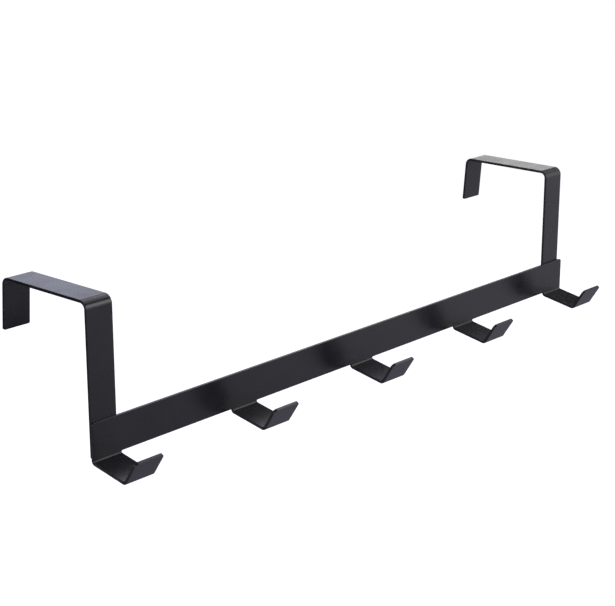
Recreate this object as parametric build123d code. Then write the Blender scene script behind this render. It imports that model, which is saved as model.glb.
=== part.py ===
from build123d import *
import math
import os

# Over door hook: a folded steel rail with hooks, hung from a door by two folded steel straps.
# Millimetres. The origin is on the door's top front edge, level with the middle of the rail.
# +X runs along the rail, +Y through the door from the hook side to the far side, +Z is up.

# Sheet steel, as thick as it is with its coating
sheet_thickness = 1.2
edge_break = 0.15
sharpest_fold_turn = 45.0
length_tolerance = 0.001

# Door that the straps go over
door_gap = 45.5

# Rail
rail_length = 300.0
rail_height = 14.3
rail_corner_radius = 1.0
punched_corner_radius = 0.3

# Hooks: tongues of the rail's own sheet, folded forward under it and up again at their tips
hook_count = 5
hook_width = 13.6
hook_reach = 16.7
hook_fold_angle = 80.0
hook_fold_radius = 0.6
hook_fold_start = 0.2
lip_length = 10.7
lip_lean_angle = 32.0
lip_fold_radius = 1.0
lip_corner_radius = 1.6

# Straps
strap_width = 12.2
strap_height = 60.0
strap_fold_radius = 2.2
strap_end_corner_radius = 0.6
far_leg_length = 20.0
far_leg_splay_angle = 4.5
left_strap_inset = 0.5
right_strap_inset = 1.8

# Spot welds, two to a strap, which leave shallow round dents in the strap's door side
weld_dent_diameter = 4.0
weld_dent_depth = 0.12
weld_spacing_x = 5.0
weld_spacing_z = 6.0

# Planes that the pieces share: the door's front face is y = 0 and its top is z = 0
strap_front_y = -sheet_thickness
rail_front_y = strap_front_y - sheet_thickness
strap_top_z = sheet_thickness
rail_bottom_z = strap_top_z - strap_height
rail_top_z = rail_bottom_z + rail_height


def folded_sheet(face_line, fold_radii, width, first_x):
    """A strip folded along face_line, the Y and Z corners of the face inside all its folds."""
    with BuildPart() as strip:
        with BuildSketch(Plane.YZ.offset(first_x)):
            with BuildLine():
                FilletPolyline(*face_line, radius=fold_radii)
                offset(amount=sheet_thickness, side=Side.LEFT, closed=True)
            make_face()
        extrude(amount=width)
    return strip.part


def rail_face_line():
    """Corners of the rail's front face, the hook's top face and the lip's near face."""
    fold_setback = hook_fold_radius * math.tan(math.radians(hook_fold_angle) / 2)
    root_z = rail_bottom_z - hook_fold_start - fold_setback
    shelf_slope = math.radians(90.0 - hook_fold_angle)
    tip_y = rail_front_y - hook_reach * math.cos(shelf_slope)
    tip_z = root_z - hook_reach * math.sin(shelf_slope)
    lean = math.radians(lip_lean_angle)
    return [
        (rail_front_y, rail_top_z),
        (rail_front_y, root_z),
        (tip_y, tip_z),
        (tip_y - lip_length * math.sin(lean), tip_z + lip_length * math.cos(lean)),
    ]


def strap_face_line():
    """Corners of the strap's door side: up the front of the door, over it and down behind."""
    splay = math.radians(far_leg_splay_angle)
    return [
        (0.0, rail_bottom_z),
        (0.0, 0.0),
        (door_gap, 0.0),
        (door_gap + far_leg_length * math.sin(splay), -far_leg_length * math.cos(splay)),
    ]


def edges_through_sheet(sheet):
    """Straight edges as long as the sheet is thick: the corners of a cut outline."""
    straight_edges = sheet.edges().filter_by(GeomType.LINE)
    return straight_edges.filter_by(lambda edge: abs(edge.length - sheet_thickness) < length_tolerance)


def break_cut_edges(sheet):
    """Takes the sharpness off the cut edges all round both faces of a folded sheet."""
    faces_beside = {}
    for face in sheet.faces():
        for edge in face.edges():
            faces_beside.setdefault(edge, []).append(face)
    sharp_edges = []
    for edge, (one_face, other_face) in faces_beside.items():
        middle = edge.position_at(0.5)
        turn = one_face.normal_at(middle).get_angle(other_face.normal_at(middle))
        if turn > sharpest_fold_turn:
            sharp_edges.append(edge)
    return sheet.chamfer(edge_break, None, sharp_edges)


def make_window(window_x, window_width, highest_z, lowest_z):
    """What is punched away between two hooks: all below the rail's bottom edge, and all in front."""
    spare = 1.0
    with BuildPart() as window:
        with Locations((window_x, strap_front_y + spare, rail_bottom_z)):
            Box(
                window_width,
                hook_fold_radius + sheet_thickness + spare,
                rail_bottom_z - lowest_z + spare,
                align=(Align.CENTER, Align.MAX, Align.MAX),
            )
        punched_corners = window.edges().filter_by(Axis.Y).group_by(Axis.Z)[-1]
        fillet(punched_corners, punched_corner_radius)
        with Locations((window_x, rail_front_y - hook_fold_radius / 2, lowest_z - spare)):
            Box(
                window_width,
                hook_reach + lip_length,
                highest_z - lowest_z + 2 * spare,
                align=(Align.CENTER, Align.MAX, Align.MIN),
            )
    return window.part


def make_hook_rail():
    """Rail and hooks folded from one blank, punched away between the hooks."""
    first_x = -rail_length / 2
    with BuildPart() as rail:
        fold_radii = [hook_fold_radius, lip_fold_radius]
        add(folded_sheet(rail_face_line(), fold_radii, rail_length, first_x))
        bounds = rail.part.bounding_box()
        hook_pitch = (rail_length - hook_width) / (hook_count - 1)
        for gap in range(hook_count - 1):
            window_x = first_x + hook_width / 2 + (gap + 0.5) * hook_pitch
            window = make_window(
                window_x, hook_pitch - hook_width, bounds.max.Z, bounds.min.Z
            )
            add(window, mode=Mode.SUBTRACT)
        rail_corners = edges_through_sheet(rail).group_by(Axis.Z)[-1]
        fillet(rail_corners, rail_corner_radius)
        lip_corners = edges_through_sheet(rail).group_by(Axis.Y)[0]
        fillet(lip_corners, lip_corner_radius)
    return break_cut_edges(rail.part)


def make_weld_dents(middle_x):
    """Shallow round caps where the electrodes pressed the strap's front leg on to the rail."""
    ball_radius = (weld_dent_diameter**2 / 4 + weld_dent_depth**2) / (2 * weld_dent_depth)
    middle_z = (rail_bottom_z + rail_top_z) / 2
    with BuildPart() as dents:
        for side in (-1, 1):
            weld_x = middle_x + side * weld_spacing_x / 2
            weld_z = middle_z - side * weld_spacing_z / 2
            with Locations((weld_x, ball_radius - weld_dent_depth, weld_z)):
                Sphere(ball_radius)
    return dents.part


def make_strap(first_x):
    """Strap folded over the door, its front leg running down behind the rail."""
    with BuildPart() as strap:
        fold_radii = [strap_fold_radius, strap_fold_radius]
        add(folded_sheet(strap_face_line(), fold_radii, strap_width, first_x))
        fillet(edges_through_sheet(strap), strap_end_corner_radius)
        add(break_cut_edges(strap.part), mode=Mode.REPLACE)
        add(make_weld_dents(first_x + strap_width / 2), mode=Mode.SUBTRACT)
    return strap.part


def write(node, solid):
    solid.label = node
    export_step(solid, "parts/" + node + ".step")


os.makedirs("parts", exist_ok=True)
write("hook_rail", make_hook_rail())
write("left_door_strap", make_strap(-rail_length / 2 + left_strap_inset))
write("right_door_strap", make_strap(rail_length / 2 - right_strap_inset - strap_width))
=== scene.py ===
import math

import bmesh
import bpy
from mathutils import Matrix, Vector


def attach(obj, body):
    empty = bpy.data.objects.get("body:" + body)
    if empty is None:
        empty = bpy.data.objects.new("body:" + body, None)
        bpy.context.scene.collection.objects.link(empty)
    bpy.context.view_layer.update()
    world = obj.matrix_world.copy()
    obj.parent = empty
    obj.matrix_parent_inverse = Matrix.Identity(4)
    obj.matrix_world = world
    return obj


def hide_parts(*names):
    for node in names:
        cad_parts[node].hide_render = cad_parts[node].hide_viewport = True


# Over door coat rack: a folded steel rail with hooks, hung from a door by two folded straps
# Sizes are the solids' own, in metres: +X along the rail, +Y through the door, +Z up

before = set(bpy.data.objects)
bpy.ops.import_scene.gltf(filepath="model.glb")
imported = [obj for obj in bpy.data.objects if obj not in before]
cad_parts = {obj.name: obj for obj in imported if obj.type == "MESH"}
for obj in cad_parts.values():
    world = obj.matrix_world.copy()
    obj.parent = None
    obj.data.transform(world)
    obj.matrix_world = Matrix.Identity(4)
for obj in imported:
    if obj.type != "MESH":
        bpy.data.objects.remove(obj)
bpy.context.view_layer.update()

MM = 0.001

# Sheet steel with its coat, and the rounding that the coat gives its cut edges
sheet_thickness = 1.2 * MM
edge_rounding = 0.15 * MM
edge_segments = 3
sharpest_fold_turn = math.radians(50.0)

# Rail
rail_length = 300.0 * MM
rail_height = 14.3 * MM
rail_corner_radius = 1.0 * MM
punched_corner_radius = 0.3 * MM

# Hooks
hook_count = 5
hook_width = 13.6 * MM
hook_reach = 16.7 * MM
hook_fold_angle = math.radians(80.0)
hook_fold_radius = 0.6 * MM
hook_fold_start = 0.2 * MM
lip_length = 10.7 * MM
lip_lean_angle = math.radians(32.0)
lip_fold_radius = 1.0 * MM
lip_corner_radius = 1.6 * MM

# Straps
door_gap = 45.5 * MM
strap_width = 12.2 * MM
strap_height = 60.0 * MM
strap_fold_radius = 2.2 * MM
strap_end_corner_radius = 0.6 * MM
far_leg_length = 20.0 * MM
far_leg_splay = math.radians(4.5)
left_strap_inset = 0.5 * MM
right_strap_inset = 1.8 * MM

# Spot welds
weld_dent_diameter = 4.0 * MM
weld_dent_depth = 0.12 * MM
weld_spacing_x = 5.0 * MM
weld_spacing_z = 6.0 * MM

# Planes that the pieces share, and the hooks' places along the rail
rail_front_y = -2 * sheet_thickness
rail_bottom_z = sheet_thickness - strap_height
rail_top_z = rail_bottom_z + rail_height
hook_pitch = (rail_length - hook_width) / (hook_count - 1)
hook_middles = [hook_width / 2 - rail_length / 2 + number * hook_pitch for number in range(hook_count)]

# Fineness of the meshes
fold_steps = 18
corner_steps = 8
electrode_segments = 48
electrode_rings = 128
flat_face_weight = 80
place_tolerance = 0.002 * MM
weld_distance = place_tolerance / 10

# Powder coat
orange_peel_size = 1.6 * MM
orange_peel_depth = 0.006 * MM
sheet_wave_size = 28.0 * MM
sheet_wave_depth = 0.12 * MM
coat_patch_size = 9.0 * MM
glossiest_roughness = 0.24
dullest_roughness = 0.30

# Floor and even light, which light a plain surface a little below its own colour. The lamps do the rest
floor_size = 16.0
floor_height = -0.45
floor_lift = 0.36
soft_light = 0.9

# Camera, found by fitting the part's outline to the photograph's
sensor_width = 36.0
camera_lens = 94.421
camera_shift_x = 0.013308
camera_shift_y = -0.002379
camera_place = Vector((-0.498293, -0.424007, 0.167371))
camera_turn = Matrix(
    (
        (0.676380, 0.216922, -0.703886),
        (-0.736550, 0.196688, -0.647154),
        (-0.001936, 0.956169, 0.292810),
    )
)


def near(one, other):
    return abs(one - other) < place_tolerance


# Sheet metal work


def start_blank(name, first_x, last_x, y, low_z, high_z):
    """A flat blank standing across Y, left in edit mode with nothing selected."""
    bpy.ops.object.select_all(action="DESELECT")
    middle = ((first_x + last_x) / 2, y, (low_z + high_z) / 2)
    bpy.ops.mesh.primitive_plane_add(size=1.0, location=middle, rotation=(math.pi / 2, 0.0, 0.0))
    blank = bpy.context.object
    blank.name = name
    blank.scale = (last_x - first_x, high_z - low_z, 1.0)
    bpy.ops.object.transform_apply(location=True, rotation=True, scale=True)
    bpy.ops.object.mode_set(mode="EDIT")
    bpy.ops.mesh.select_mode(type="EDGE")
    bpy.ops.mesh.select_all(action="DESELECT")
    return blank


def select_edges(sheet, wanted):
    """Selects the edges that lie at wanted places, ends and middle."""
    bpy.ops.mesh.select_mode(type="EDGE")
    bpy.ops.mesh.select_all(action="DESELECT")
    mesh = bmesh.from_edit_mesh(sheet.data)
    for edge in mesh.edges:
        first, last = (vertex.co for vertex in edge.verts)
        edge.select_set(wanted(first) and wanted(last) and wanted((first + last) / 2))
    bmesh.update_edit_mesh(sheet.data)


def select_corners(sheet, wanted):
    """Selects the vertices that stand at wanted places."""
    bpy.ops.mesh.select_mode(type="VERT")
    bpy.ops.mesh.select_all(action="DESELECT")
    mesh = bmesh.from_edit_mesh(sheet.data)
    for vertex in mesh.verts:
        vertex.select_set(wanted(vertex.co))
    bmesh.update_edit_mesh(sheet.data)


def run_straight(end, heading, length):
    """Draws the selected end of the sheet straight on and returns its new Y and Z."""
    step = Vector((0.0, math.cos(heading), math.sin(heading))) * length
    bpy.ops.mesh.extrude_edges_move(TRANSFORM_OT_translate={"value": step})
    return end[0] + step.y, end[1] + step.z


def fold_over(end, heading, radius, turn):
    """Rolls the selected end of the sheet round a fold on its right; returns its new place and heading."""
    centre = Vector((0.0, end[0] + radius * math.sin(heading), end[1] - radius * math.cos(heading)))
    bpy.ops.mesh.spin(steps=fold_steps, angle=turn, center=centre, axis=(1.0, 0.0, 0.0))
    heading = heading - turn
    return (centre.y - radius * math.sin(heading), centre.z + radius * math.cos(heading)), heading


def round_corners(sheet, radius, wanted):
    """Rounds the outline's corners at wanted places."""
    select_corners(sheet, wanted)
    bpy.ops.mesh.bevel(offset=radius, segments=corner_steps, profile=0.5, affect="VERTICES")


def apply_modifiers(sheet):
    for modifier in list(sheet.modifiers):
        bpy.ops.object.modifier_apply(modifier=modifier.name)


def thicken(sheet, facing):
    """Gives the folded face its thickness, on the side away from its folds' centres. Facing is +1 if the
    upright part of the face looks along +Y, and -1 if it looks along -Y."""
    bpy.ops.mesh.select_all(action="SELECT")
    bpy.ops.mesh.remove_doubles(threshold=weld_distance)
    bpy.ops.mesh.normals_make_consistent(inside=False)
    mesh = bmesh.from_edit_mesh(sheet.data)
    mesh.faces.ensure_lookup_table()
    upright = max(mesh.faces, key=lambda face: abs(face.normal.y) * face.calc_area())
    if upright.normal.y * facing < 0:
        bpy.ops.mesh.flip_normals()
    bpy.ops.object.mode_set(mode="OBJECT")
    wall = sheet.modifiers.new("Sheet", "SOLIDIFY")
    wall.thickness = sheet_thickness
    wall.use_even_offset = True
    wall.use_quality_normals = True
    apply_modifiers(sheet)


def finish_edges(sheet):
    """Rounds the cut edges as the coat does, and shades the sheet smooth with its flats kept flat."""
    rounding = sheet.modifiers.new("Coated edges", "BEVEL")
    rounding.width = edge_rounding
    rounding.segments = edge_segments
    rounding.limit_method = "ANGLE"
    rounding.angle_limit = sharpest_fold_turn
    rounding.use_clamp_overlap = False
    apply_modifiers(sheet)
    bpy.ops.object.shade_smooth()
    flats = sheet.modifiers.new("Flat faces", "WEIGHTED_NORMAL")
    flats.weight = flat_face_weight
    apply_modifiers(sheet)


# Rail with its hooks


def shape_punched_corners(sheet):
    """Narrows each tongue from its wide root to its own width, in a quarter circle beside the rail."""
    wide = hook_width / 2 + punched_corner_radius
    depths = {}
    for vertex in bmesh.from_edit_mesh(sheet.data).verts:
        depth = rail_bottom_z - vertex.co.z
        if depth > place_tolerance:
            depths[round(depth / place_tolerance)] = depth
    for depth in depths.values():
        to_centre = max(punched_corner_radius - depth, 0.0)
        narrowing = math.sqrt(punched_corner_radius**2 - to_centre**2)
        for side in (-1, 1):
            sides = [middle + side * wide for middle in hook_middles]
            select_corners(
                sheet,
                lambda place: near(rail_bottom_z - place.z, depth) and any(near(place.x, x) for x in sides),
            )
            bpy.ops.transform.translate(value=(-side * narrowing, 0.0, 0.0))


def make_rail():
    """Rail and hooks folded from one sheet. Its face is the hook side, inside all its folds."""
    sheet = start_blank(
        "rail_with_hooks", -rail_length / 2, rail_length / 2, rail_front_y, rail_bottom_z, rail_top_z
    )
    half_root = hook_width / 2 + punched_corner_radius
    for middle in hook_middles:
        for cut_x in (middle - half_root, middle + half_root):
            if abs(cut_x) < rail_length / 2:
                bpy.ops.mesh.select_all(action="SELECT")
                bpy.ops.mesh.bisect(plane_co=(cut_x, 0.0, 0.0), plane_no=(1.0, 0.0, 0.0))

    select_edges(
        sheet,
        lambda place: near(place.z, rail_bottom_z)
        and any(abs(place.x - middle) < half_root + place_tolerance for middle in hook_middles),
    )
    end = (rail_front_y, rail_bottom_z)
    heading = -math.pi / 2
    fold_setback = hook_fold_radius * math.tan(hook_fold_angle / 2)
    lip_turn = math.pi - hook_fold_angle - lip_lean_angle
    lip_setback = lip_fold_radius * math.tan(lip_turn / 2)
    # Two short steps, so that the punched corners have points to curve through
    end = run_straight(end, heading, hook_fold_start / 3)
    end = run_straight(end, heading, hook_fold_start * 2 / 3)
    end, heading = fold_over(end, heading, hook_fold_radius, hook_fold_angle)
    end = run_straight(end, heading, hook_reach - fold_setback - lip_setback)
    end, heading = fold_over(end, heading, lip_fold_radius, lip_turn)
    end = run_straight(end, heading, lip_length - lip_setback)
    shape_punched_corners(sheet)
    round_corners(sheet, lip_corner_radius, lambda place: near(place.y, end[0]) and near(place.z, end[1]))
    round_corners(
        sheet,
        rail_corner_radius,
        lambda place: near(place.z, rail_top_z) and near(abs(place.x), rail_length / 2),
    )
    thicken(sheet, -1)
    finish_edges(sheet)
    return sheet


# Straps


def press_weld_dents(strap, middle_x):
    """Two shallow round dents in the door side, where the spot welds hold the strap to the rail."""
    ball_radius = (weld_dent_diameter**2 / 4 + weld_dent_depth**2) / (2 * weld_dent_depth)
    middle_z = (rail_bottom_z + rail_top_z) / 2
    for side in (-1, 1):
        bpy.ops.object.select_all(action="DESELECT")
        bpy.ops.mesh.primitive_uv_sphere_add(
            segments=electrode_segments,
            ring_count=electrode_rings,
            radius=ball_radius,
            location=(
                middle_x + side * weld_spacing_x / 2,
                ball_radius - weld_dent_depth,
                middle_z - side * weld_spacing_z / 2,
            ),
            rotation=(math.pi / 2, 0.0, 0.0),
        )
        electrode = bpy.context.object
        bpy.context.view_layer.objects.active = strap
        press = strap.modifiers.new("Weld dent", "BOOLEAN")
        press.operation = "DIFFERENCE"
        press.object = electrode
        press.solver = "EXACT"
        apply_modifiers(strap)
        bpy.data.objects.remove(electrode)


def make_strap(name, first_x):
    """Strap folded over the door. Its face is the door side, inside both folds."""
    last_x = first_x + strap_width
    front_leg_top = -strap_fold_radius
    sheet = start_blank(name, first_x, last_x, 0.0, rail_bottom_z, front_leg_top)
    select_edges(sheet, lambda place: near(place.z, front_leg_top))
    far_turn = math.pi / 2 - far_leg_splay
    far_setback = strap_fold_radius * math.tan(far_turn / 2)
    end, heading = fold_over((0.0, front_leg_top), math.pi / 2, strap_fold_radius, math.pi / 2)
    end = run_straight(end, heading, door_gap - strap_fold_radius - far_setback)
    end, heading = fold_over(end, heading, strap_fold_radius, far_turn)
    end = run_straight(end, heading, far_leg_length - far_setback)
    round_corners(
        sheet,
        strap_end_corner_radius,
        lambda place: near(place.y, end[0]) and near(place.z, end[1]),
    )
    round_corners(sheet, strap_end_corner_radius, lambda place: near(place.z, rail_bottom_z))
    thicken(sheet, 1)
    press_weld_dents(sheet, (first_x + last_x) / 2)
    finish_edges(sheet)
    return sheet


# Materials


def linear_colour(hex_code):
    """An sRGB hex colour as the linear red, green, blue and alpha that the shaders take."""
    levels = [int(hex_code[start : start + 2], 16) / 255 for start in (1, 3, 5)]
    linear = [level / 12.92 if level <= 0.04045 else ((level + 0.055) / 1.055) ** 2.4 for level in levels]
    return (*linear, 1.0)


def add_node(tree, kind, settings, inputs):
    """Adds a node with its settings, and gives each named input a value or a link."""
    node = tree.nodes.new(kind)
    for name, value in settings.items():
        setattr(node, name, value)
    for name, value in inputs.items():
        if isinstance(value, bpy.types.NodeSocket):
            tree.links.new(value, node.inputs[name])
        else:
            node.inputs[name].default_value = value
    return node


def start_material(name):
    material = bpy.data.materials.new(name)
    material.use_nodes = True
    material.node_tree.nodes.clear()
    return material


def make_powder_coat():
    """Satin black polyester powder, sprayed on steel and baked. It flows out to a fine orange peel
    and follows the sheet, which is never quite flat, so reflections run soft and a little uneven."""
    material = start_material("satin_black_powder_coat")
    tree = material.node_tree
    place = add_node(tree, "ShaderNodeTexCoord", {}, {})
    peel = add_node(
        tree,
        "ShaderNodeTexNoise",
        {},
        {"Vector": place.outputs["Object"], "Scale": 1 / orange_peel_size, "Detail": 2.0, "Roughness": 0.45},
    )
    wave = add_node(
        tree,
        "ShaderNodeTexNoise",
        {},
        {"Vector": place.outputs["Object"], "Scale": 1 / sheet_wave_size, "Detail": 1.0, "Roughness": 0.4},
    )
    patches = add_node(
        tree,
        "ShaderNodeTexNoise",
        {},
        {"Vector": place.outputs["Object"], "Scale": 1 / coat_patch_size, "Detail": 3.0, "Roughness": 0.55},
    )
    wavy = add_node(
        tree,
        "ShaderNodeBump",
        {},
        {"Height": wave.outputs["Fac"], "Strength": 1.0, "Distance": sheet_wave_depth},
    )
    peeled = add_node(
        tree,
        "ShaderNodeBump",
        {},
        {
            "Height": peel.outputs["Fac"],
            "Normal": wavy.outputs["Normal"],
            "Strength": 1.0,
            "Distance": orange_peel_depth,
        },
    )
    gloss = add_node(
        tree,
        "ShaderNodeMapRange",
        {},
        {
            "Value": patches.outputs["Fac"],
            "From Min": 0.3,
            "From Max": 0.7,
            "To Min": glossiest_roughness,
            "To Max": dullest_roughness,
        },
    )
    tint = add_node(
        tree,
        "ShaderNodeMix",
        {"data_type": "RGBA"},
        {
            "Factor": patches.outputs["Fac"],
            "A": linear_colour("#0f0e12"),
            "B": linear_colour("#131216"),
        },
    )
    shader = add_node(
        tree,
        "ShaderNodeBsdfPrincipled",
        {},
        {
            "Base Color": tint.outputs["Result"],
            "Roughness": gloss.outputs["Result"],
            "IOR": 1.5,
            "Normal": peeled.outputs["Normal"],
        },
    )
    add_node(tree, "ShaderNodeOutputMaterial", {}, {"Surface": shader.outputs["BSDF"]})
    return material


# Studio


def direction(azimuth, elevation):
    """Towards a place in the studio: degrees from +X towards +Y, and degrees above the level."""
    level = math.cos(math.radians(elevation))
    return Vector(
        (
            level * math.cos(math.radians(azimuth)),
            level * math.sin(math.radians(azimuth)),
            math.sin(math.radians(elevation)),
        )
    )


def make_floor():
    """Plain pale floor, lifted to white for the camera and in reflections. Its underside is clear, so that
    the rack can be looked at from below."""
    bpy.ops.object.select_all(action="DESELECT")
    bpy.ops.mesh.primitive_plane_add(size=floor_size, location=(0.0, 0.0, floor_height))
    floor = bpy.context.object
    floor.name = "pale_floor"
    bpy.ops.object.transform_apply(location=True, rotation=True, scale=True)
    material = start_material("pale_floor")
    tree = material.node_tree
    paint = add_node(tree, "ShaderNodeBsdfDiffuse", {}, {"Color": linear_colour("#e6e6e6")})
    glow = add_node(tree, "ShaderNodeEmission", {}, {"Strength": seen_rays(tree, floor_lift)})
    lifted = add_node(
        tree, "ShaderNodeAddShader", {}, {0: paint.outputs["BSDF"], 1: glow.outputs["Emission"]}
    )
    clear = add_node(tree, "ShaderNodeBsdfTransparent", {}, {})
    side = add_node(tree, "ShaderNodeNewGeometry", {}, {})
    one_sided = add_node(
        tree,
        "ShaderNodeMixShader",
        {},
        {0: side.outputs["Backfacing"], 1: lifted.outputs["Shader"], 2: clear.outputs["BSDF"]},
    )
    add_node(tree, "ShaderNodeOutputMaterial", {}, {"Surface": one_sided.outputs["Shader"]})
    floor.data.materials.append(material)


def seen_rays(tree, strength):
    """The given strength for camera rays and for those by reflection or through glass, and 0 for the rest."""
    rays = add_node(tree, "ShaderNodeLightPath", {}, {})
    camera_or_glossy = add_node(
        tree,
        "ShaderNodeMath",
        {"operation": "MAXIMUM"},
        {0: rays.outputs["Is Camera Ray"], 1: rays.outputs["Is Glossy Ray"]},
    )
    seen = add_node(
        tree,
        "ShaderNodeMath",
        {"operation": "MAXIMUM"},
        {0: camera_or_glossy.outputs["Value"], 1: rays.outputs["Is Transmission Ray"]},
    )
    return add_node(
        tree, "ShaderNodeMath", {"operation": "MULTIPLY"}, {0: seen.outputs["Value"], 1: strength}
    ).outputs["Value"]


def make_world():
    """White all round to the camera and in reflections, and an even, faintly blue light from all sides."""
    world = bpy.data.worlds.new("studio")
    bpy.context.scene.world = world
    world.use_nodes = True
    tree = world.node_tree
    tree.nodes.clear()
    soft = add_node(
        tree, "ShaderNodeBackground", {}, {"Color": linear_colour("#f4f4ff"), "Strength": soft_light}
    )
    white = add_node(tree, "ShaderNodeBackground", {}, {"Color": (1.0, 1.0, 1.0, 1.0), "Strength": 1.0})
    mixed = add_node(
        tree,
        "ShaderNodeMixShader",
        {},
        {0: seen_rays(tree, 1.0), 1: soft.outputs["Background"], 2: white.outputs["Background"]},
    )
    add_node(tree, "ShaderNodeOutputWorld", {}, {"Surface": mixed.outputs["Shader"]})


def add_card(name, place, width, height, colour):
    """A card that faces the rack and that only reflections see, as a photographer tones down a reflection."""
    bpy.ops.object.select_all(action="DESELECT")
    bpy.ops.mesh.primitive_plane_add(size=1.0)
    card = bpy.context.object
    card.name = name
    card.scale = (width, height, 1.0)
    card.rotation_euler = (-place).to_track_quat("Z", "Y").to_euler()
    card.location = place
    bpy.ops.object.transform_apply(location=True, rotation=True, scale=True)
    card.visible_camera = False
    card.visible_diffuse = False
    card.visible_shadow = False
    material = start_material(name)
    tree = material.node_tree
    paint = add_node(tree, "ShaderNodeBsdfDiffuse", {}, {"Color": linear_colour(colour)})
    add_node(tree, "ShaderNodeOutputMaterial", {}, {"Surface": paint.outputs["BSDF"]})
    card.data.materials.append(material)


def add_softbox(name, place, width, height, brightness, colour):
    """A soft light that faces the rack. Its brightness is in whites: 1 is as bright as the white backdrop."""
    lamp = bpy.data.lights.new(name, "AREA")
    lamp.shape = "RECTANGLE"
    lamp.size = width
    lamp.size_y = height
    lamp.energy = brightness * math.pi * width * height
    lamp.color = linear_colour(colour)[:3]
    softbox = bpy.data.objects.new(name, lamp)
    bpy.context.collection.objects.link(softbox)
    softbox.location = place
    softbox.rotation_euler = (-place).to_track_quat("-Z", "Y").to_euler()


def set_camera():
    """The photograph's view: its place, turn, focal length and framing."""
    camera = bpy.data.cameras.new("camera")
    camera.sensor_width = sensor_width
    camera.lens = camera_lens
    camera.shift_x = camera_shift_x
    camera.shift_y = camera_shift_y
    viewer = bpy.data.objects.new("camera", camera)
    bpy.context.collection.objects.link(viewer)
    viewer.matrix_world = Matrix.Translation(camera_place) @ camera_turn.to_4x4()
    bpy.context.scene.camera = viewer


powder_coat = make_powder_coat()
left_strap_x = left_strap_inset - rail_length / 2
right_strap_x = rail_length / 2 - right_strap_inset - strap_width
pieces = {
    "hook_rail": make_rail(),
    "left_door_strap": make_strap("left_strap", left_strap_x),
    "right_door_strap": make_strap("right_strap", right_strap_x),
}
for node, piece in pieces.items():
    piece.data.materials.clear()
    piece.data.materials.append(powder_coat)
    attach(piece, "root")
    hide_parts(node)

make_floor()
make_world()

# Grey cards below and above the rack
add_card(
    "grey_card",
    place=Vector((0.0, 0.0, -0.4)),
    width=3.4,
    height=3.4,
    colour="#96949c",
)
add_card(
    "grey_ceiling",
    place=Vector((0.0, 0.0, 1.4)),
    width=4.8,
    height=4.8,
    colour="#7b7b7b",
)

# Black cards: the first and the flag keep the fifth hook's upper face dark, the side card the cut edges
add_card(
    "black_card",
    place=1.05 * direction(azimuth=21, elevation=19.5),
    width=0.5,
    height=0.18,
    colour="#101010",
)
add_card(
    "black_side_card",
    place=1.0 * direction(azimuth=112, elevation=-4),
    width=1.1,
    height=1.0,
    colour="#101010",
)
add_card(
    "black_flag",
    place=Vector((0.296, 0.065, -0.023)),
    width=0.17,
    height=0.044,
    colour="#101010",
)

# Two lights at the front, one above the rack and one below it, and one high at its right end
add_softbox(
    "key_softbox",
    place=1.2 * direction(azimuth=-54, elevation=20),
    width=0.8,
    height=0.6,
    brightness=2.3,
    colour="#ffffff",
)
add_softbox(
    "front_softbox",
    place=1.1 * direction(azimuth=-41, elevation=-21),
    width=0.6,
    height=0.3,
    brightness=0.38,
    colour="#f4f4ff",
)
add_softbox(
    "top_softbox",
    place=1.2 * direction(azimuth=14, elevation=48),
    width=1.2,
    height=0.5,
    brightness=2.0,
    colour="#f4f4ff",
)

# Behind the rack: what the right strap's top reflects, and then the left one's
add_softbox(
    "backdrop_softbox",
    place=2.0 * direction(azimuth=34, elevation=8),
    width=0.9,
    height=0.5,
    brightness=1.02,
    colour="#fff8f6",
)
add_softbox(
    "cool_backdrop_softbox",
    place=2.0 * direction(azimuth=60, elevation=11),
    width=0.9,
    height=0.5,
    brightness=0.98,
    colour="#b4bcff",
)
set_camera()
bpy.context.scene.view_settings.view_transform = "Standard"
